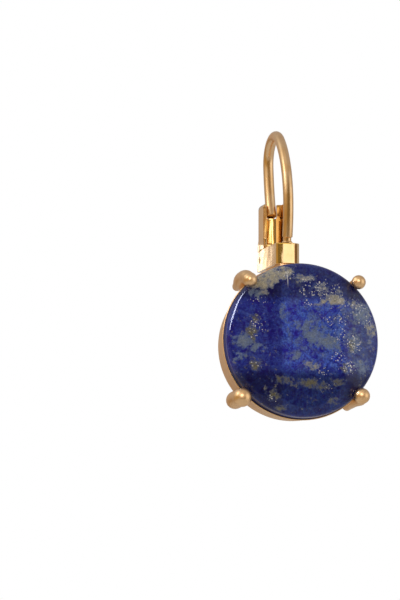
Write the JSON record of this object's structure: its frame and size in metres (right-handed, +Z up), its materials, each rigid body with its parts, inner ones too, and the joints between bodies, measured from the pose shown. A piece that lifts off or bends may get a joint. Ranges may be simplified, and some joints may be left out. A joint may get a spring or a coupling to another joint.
{
  "type": "lapis lazuli leverback drop earring",
  "caption": "Drop earring: a round faceted lapis stone held by ball prongs on a gold-toned cup, hung from an arched ear wire that a hinged lever closes.",
  "frame": {"origin": "inner top of the ear wire's arch, where the earring hangs in the ear", "axes": "+Z up, the stone faces -Y, +X is to the right of a person who looks at the stone"},
  "size_m": [0.0152, 0.0166, 0.0292],
  "materials": {
    "satin_gold": "satin gold plating",
    "bright_gold": "polished gold plating",
    "lapis": "polished"
  },
  "bodies": {
    "earring": {"setting": "satin_gold", "stone": "lapis", "ear_hook": "satin_gold", "hinge_pin": "bright_gold"},
    "lever": {"lever": "bright_gold"}
  },
  "joints": [
    {"name": "lever_hinge", "type": "hinge", "parent": "earring", "child": "lever", "pos_m": [0, 0.0015, -0.01144], "axis": [-1, 0, 0], "range_deg": [0, 65]}
  ]
}
